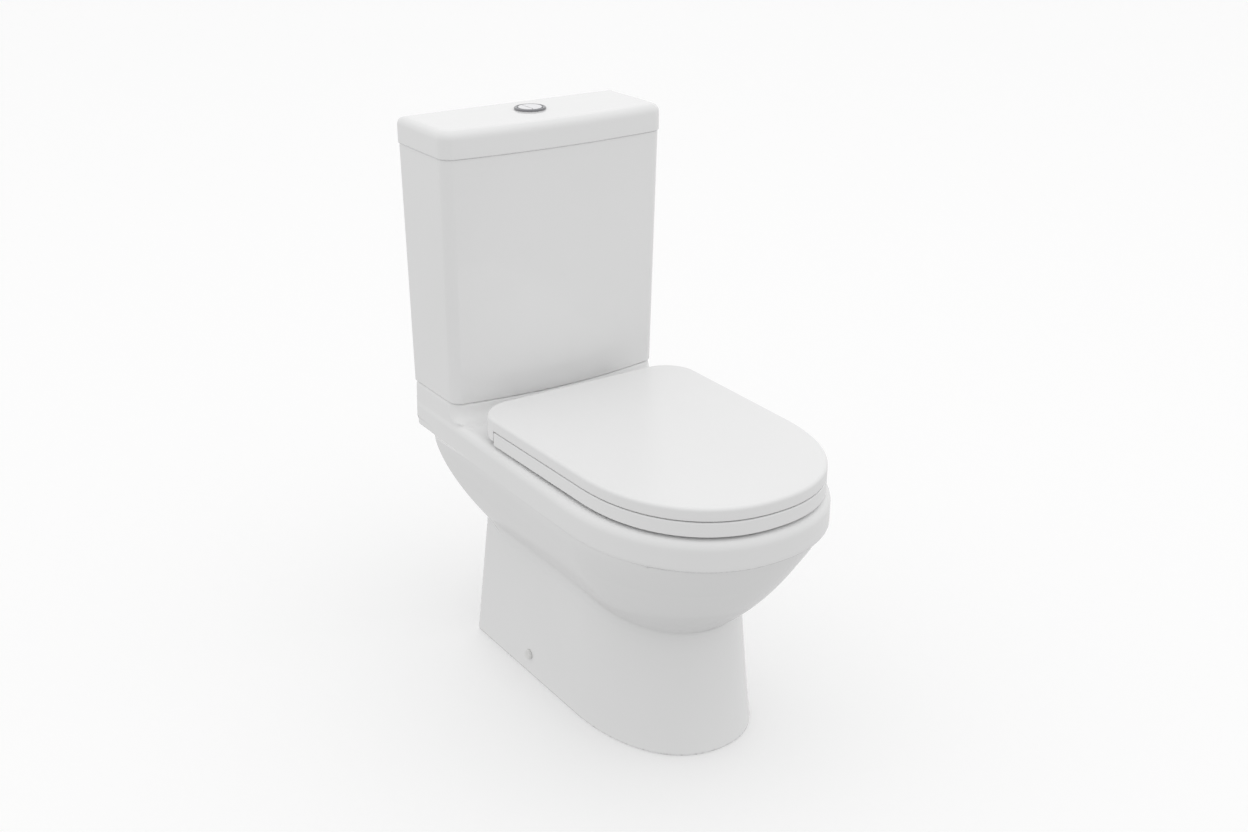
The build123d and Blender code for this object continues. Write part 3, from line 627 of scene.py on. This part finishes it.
def make_seat_lid():
    z1 = LID_Z[1]

    def loop(inset, z):
        return seat_loop(inset, z, LID_BACK, LID_CORNER)

    def above(rise):
        return lambda depth: lid_bottom(depth) + rise

    loops = [loop(30, z1 - 10), loop(10, z1 - 10), loop(7.8, z1 - 10.6), loop(7, z1 - 12.5)]
    loops += [loop(7, above(1.6)), loop(6.4, above(0.4)), loop(5.5, above(0))]
    loops += [loop(i, above(d)) for i, d in reversed(round_steps(1.6, 4))]
    loops += [loop(0, z1 - 9)]
    loops += [loop(i, z1 - d) for i, d in round_steps(4.5, 7)]
    loops += [loop(9, z1), loop(20, z1)]
    lid = new_piece("seat_lid_moulding", *ladder(loops, first_cap=True, last_cap=True), "lid",
                    "seat_plastic")
    tidy_normals(lid)
    cut_boxes(lid, [
        brick(x0, x1, LID_BACK - 3, LID_BACK + 9, 380, HINGE_Z + 10)
        for x0, x1 in ((-NOTCH[1], -NOTCH[0]), NOTCH)
    ])
    lugs = []
    for side in (-1, 1):
        inner, outer = side * LID_LUG[0], side * LID_LUG[1]
        lugs.append(cross_drum(LUG_R, PIN_BORE, min(inner, outer), max(inner, outer)))
        lugs.append(brick(inner, outer, HINGE_DEPTH - 4.5, HINGE_DEPTH + 4.5, HINGE_Z + 6, z1 - 8))
    lug_piece = new_piece("seat_lid_lugs", *joined(lugs), "lid", "seat_plastic")
    tidy_normals(lug_piece)
    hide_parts("seat_lid")


def make_seat_ring():
    z0, z1 = RING_BOTTOM, RING_TOP

    def outer(inset, z):
        return seat_loop(inset, z, RING_BACK, RING_CORNER, RING_TUCK)

    guide = outer(0, z1)

    def across(share, z):
        """Loop part of the way from the outer edge to the opening."""
        return outer(2.0, z) * (1 - share) + oval_loop(guide, 8.0, z) * share

    loops = [outer(i, z1 - d) for i, d in round_steps(2.0, 5)]
    loops += [across(k, z1 - 1.2 * k ** 2) for k in (0.15, 0.35, 0.6, 0.8, 0.92)]
    loops += [oval_loop(guide, i, z1 - 1.4 - d) for i, d in reversed(round_steps(7.0, 7))]
    loops += [oval_loop(guide, i, z0 + d) for i, d in round_steps(2.0, 4)]
    loops += [oval_loop(guide, o, z) for o, z in ((11, z0), (12, z0 + 1), (12, z0 + 7), (13, z0 + 8))]
    loops += [outer(11, z0 + 8), outer(10, z0 + 7), outer(10, z0 + 1), outer(9, z0)]
    loops += [outer(i, z0 + d) for i, d in reversed(round_steps(2.0, 4))]
    parts = [ladder(loops, ring=True)]
    for side in (-1, 1):
        inner, edge = side * RING_LUG[0], side * RING_LUG[1]
        parts.append(cross_drum(LUG_R, PIN_BORE, min(inner, edge), max(inner, edge)))
        parts.append(brick(inner, edge, HINGE_DEPTH + 6, RING_BACK + 3, HINGE_Z - 5, HINGE_Z + 4))
    ring = new_piece("seat_ring_moulding", *joined(parts), "seat", "seat_plastic")
    tidy_normals(ring)
    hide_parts("seat_ring")


def make_bezel():
    """Chrome ring round the button: rolled outer edge and a dished inner slope."""
    centre = (BEZEL_DEPTH[0] + BEZEL_DEPTH[1]) / 2
    radius = BEZEL_X[1]
    base, top = BEZEL_Z[1] - 3, BEZEL_Z[1]
    profile = [(radius - 0.3, base), (radius, base + 0.4)]
    profile += [(radius - i, top - d) for i, d in round_steps(1.8, 6)]
    profile += [(radius - 3.2, top - 0.1), (radius - 4.4, top - 0.8), (radius - 5.4, top - 2.0)]
    profile += [(17.5, top - 3), (17.5, BEZEL_Z[0] + 3), (19, BEZEL_Z[0]), (20, BEZEL_Z[0]), (20, base)]
    bezel = new_piece("button_ring", *lathe(profile, 0, centre), "pan_body", "chrome")
    tidy_normals(bezel, 50)
    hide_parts("button_bezel")


# ---- materials ----

def finish_of(name, base, tint, roughness, rough_swing, grain, bump, metallic=0.0, coat=0.0):
    """Principled finish: drifting colour, uneven roughness and a fine bump, all from noise."""
    material = bpy.data.materials.new(name)
    material.use_nodes = True
    nodes, links = material.node_tree.nodes, material.node_tree.links
    shader = nodes["Principled BSDF"]
    shader.inputs["Metallic"].default_value = metallic
    shader.inputs["IOR"].default_value = 1.5
    shader.inputs["Coat Weight"].default_value = coat
    shader.inputs["Coat Roughness"].default_value = 0.03
    place = nodes.new("ShaderNodeTexCoord")

    def noise(scale, detail):
        texture = nodes.new("ShaderNodeTexNoise")
        texture.inputs["Scale"].default_value = scale
        texture.inputs["Detail"].default_value = detail
        links.new(place.outputs["Object"], texture.inputs["Vector"])
        return texture

    drift = noise(5.0, 3.0)
    ramp = nodes.new("ShaderNodeValToRGB")
    ramp.color_ramp.elements[0].position = 0.35
    ramp.color_ramp.elements[1].position = 0.65
    ramp.color_ramp.elements[0].color = (*[b * t for b, t in zip(base, tint)], 1)
    ramp.color_ramp.elements[1].color = (*base, 1)
    links.new(drift.outputs["Fac"], ramp.inputs["Fac"])
    links.new(ramp.outputs["Color"], shader.inputs["Base Color"])

    wear = noise(28.0, 4.0)
    spread = nodes.new("ShaderNodeMapRange")
    spread.inputs["To Min"].default_value = roughness
    spread.inputs["To Max"].default_value = roughness + rough_swing
    links.new(wear.outputs["Fac"], spread.inputs["Value"])
    links.new(spread.outputs["Result"], shader.inputs["Roughness"])

    texture = noise(grain, 2.0)
    relief = nodes.new("ShaderNodeBump")
    relief.inputs["Strength"].default_value = 0.5
    relief.inputs["Distance"].default_value = bump
    links.new(texture.outputs["Fac"], relief.inputs["Height"])
    links.new(relief.outputs["Normal"], shader.inputs["Normal"])
    return material


FINISHES = {
    "ceramic": finish_of("white_glaze", (0.89, 0.89, 0.89), (0.985, 0.987, 0.985), 0.10, 0.05, 55.0,
                         0.00006, coat=0.35),
    "seat_plastic": finish_of("white_moulding", (0.89, 0.89, 0.89), (0.99, 0.99, 0.99), 0.22, 0.06,
                              260.0, 0.00002),
    "chrome": finish_of("polished_chrome", (0.88, 0.88, 0.89), (0.94, 0.94, 0.96), 0.05, 0.07, 400.0,
                        0.00001, metallic=1.0),
    # chrome with a darkened base colour for the button ring: a painted dark reflection that stands in
    # for dark surroundings the white studio does not have
    "chrome_painted_dark_reflection": finish_of("chrome_with_painted_dark_reflection", (0.30, 0.30, 0.31), (0.8, 0.8, 0.82), 0.08, 0.08, 400.0,
                             0.00001, metallic=1.0),
    "steel": finish_of("plain_steel", (0.55, 0.55, 0.56), (0.88, 0.88, 0.9), 0.26, 0.16, 500.0,
                       0.00003, metallic=1.0),
    "brass": finish_of("plain_brass", (0.72, 0.53, 0.26), (0.86, 0.84, 0.8), 0.24, 0.16, 400.0,
                       0.00003, metallic=1.0),
    "rubber": finish_of("black_rubber", (0.035, 0.035, 0.036), (0.75, 0.75, 0.75), 0.55, 0.2, 900.0,
                        0.00006),
    "foam_rubber": finish_of("foam_rubber", (0.03, 0.03, 0.03), (0.6, 0.6, 0.6), 0.75, 0.15, 1400.0,
                             0.0003),
    "white_plastic": finish_of("plain_white_plastic", (0.8, 0.8, 0.79), (0.96, 0.96, 0.95), 0.38,
                               0.12, 700.0, 0.00004),
    "grey_plastic": finish_of("blue_grey_plastic", (0.3, 0.37, 0.44), (0.9, 0.9, 0.92), 0.38, 0.12,
                              700.0, 0.00004),
}


def dress():
    """Gives every piece and every shown CAD node the finish of its material slot."""
    slots = {part["node"]: part["material_slot"] for part in frame["record"]["subparts"]}
    for name, node in frame["nodes"].items():
        node.data.materials.clear()
        node.data.materials.append(FINISHES[slots[name]])
        node.data.polygons.foreach_set("use_smooth", [True] * len(node.data.polygons))
        node.data.set_sharp_from_angle(angle=radians(30))
        flat = node.modifiers.new("flats", "WEIGHTED_NORMAL")
        flat.keep_sharp = True
    made = {
        "pan_casting": "ceramic",
        "cistern_casting": "ceramic",
        "cistern_lid_casting": "ceramic",
        "seat_lid_moulding": "seat_plastic",
        "seat_lid_lugs": "seat_plastic",
        "seat_ring_moulding": "seat_plastic",
        # the button ring gets the darkened chrome, a painted dark reflection
        "button_ring": "chrome_painted_dark_reflection",
    }
    for name, slot in made.items():
        mesh = bpy.data.objects[name].data
        mesh.materials.clear()
        mesh.materials.append(FINISHES[slot])


# ---- stage: metres and degrees ----
CAMERA_X = -1.1019
CAMERA_DEPTH = 1.9560
CAMERA_Z = 1.2456
CAMERA_YAW = 33.65
CAMERA_PITCH = 22.73
LENS = 44.70


def make_floor():
    """Pale flat floor, far wider than the view.

    It sheds no light on the object, which would otherwise be lit from below.
    """
    bpy.ops.mesh.primitive_plane_add(size=60)
    floor = bpy.context.active_object
    floor.name = "studio_floor"
    floor.location = (0, 0, -0.0005)
    material = bpy.data.materials.new("studio_floor")
    material.use_nodes = True
    shader = material.node_tree.nodes["Principled BSDF"]
    shader.inputs["Base Color"].default_value = (0.94, 0.94, 0.94, 1)
    shader.inputs["Roughness"].default_value = 0.6
    shader.inputs["Specular IOR Level"].default_value = 0.1
    shader.inputs["Emission Color"].default_value = (1, 1, 1, 1)
    shader.inputs["Emission Strength"].default_value = 0.09
    floor.data.materials.append(material)
    floor.visible_diffuse = False
    floor.visible_glossy = False


def area_light(name, place, target, size, power):
    """Soft rectangular lamp aimed at a point."""
    light = bpy.data.lights.new(name, "AREA")
    light.shape = "RECTANGLE"
    light.size, light.size_y = size
    light.energy = power
    lamp = bpy.data.objects.new(name, light)
    bpy.context.scene.collection.objects.link(lamp)
    lamp.location = place
    lamp.rotation_euler = (Vector(target) - Vector(place)).to_track_quat("-Z", "Y").to_euler()


def make_light():
    """White surroundings, brighter above and ahead than below, and one weak lamp overhead."""
    world = bpy.data.worlds.new("studio")
    world.use_nodes = True
    nodes, links = world.node_tree.nodes, world.node_tree.links
    place = nodes.new("ShaderNodeTexCoord")
    towards = nodes.new("ShaderNodeVectorMath")
    towards.operation = "DOT_PRODUCT"
    towards.inputs[1].default_value = (0.25, 0.40, 0.88)
    shade = nodes.new("ShaderNodeMapRange")
    shade.interpolation_type = "SMOOTHSTEP"
    shade.inputs["From Min"].default_value = -0.7
    shade.inputs["From Max"].default_value = 0.8
    shade.inputs["To Min"].default_value = 0.645
    shade.inputs["To Max"].default_value = 0.965
    nodes["Background"].inputs["Color"].default_value = (1, 1, 1, 1)
    links.new(place.outputs["Generated"], towards.inputs[0])
    links.new(towards.outputs["Value"], shade.inputs["Value"])
    links.new(shade.outputs["Result"], nodes["Background"].inputs["Strength"])
    bpy.context.scene.world = world
    area_light("overhead", (0.3, -0.6, 6.0), (0, 0, 0.4), (6.0, 6.0), 12)


def make_camera():
    """Camera at the left front, looking down at the object."""
    data = bpy.data.cameras.new("camera")
    data.sensor_width = 36.0
    data.lens = LENS
    camera = bpy.data.objects.new("camera", data)
    bpy.context.scene.collection.objects.link(camera)
    camera.location = (CAMERA_X, WALL_Y - CAMERA_DEPTH, CAMERA_Z)
    yaw, pitch = radians(CAMERA_YAW), radians(CAMERA_PITCH)
    ahead = Vector((sin(yaw) * cos(pitch), cos(yaw) * cos(pitch), -sin(pitch)))
    camera.rotation_euler = ahead.to_track_quat("-Z", "Y").to_euler()
    bpy.context.scene.camera = camera


make_pan()
make_cistern()
make_cistern_lid()
make_seat_lid()
make_seat_ring()
make_bezel()
dress()
make_floor()
make_light()
make_camera()
bpy.context.scene.view_settings.view_transform = "Standard"
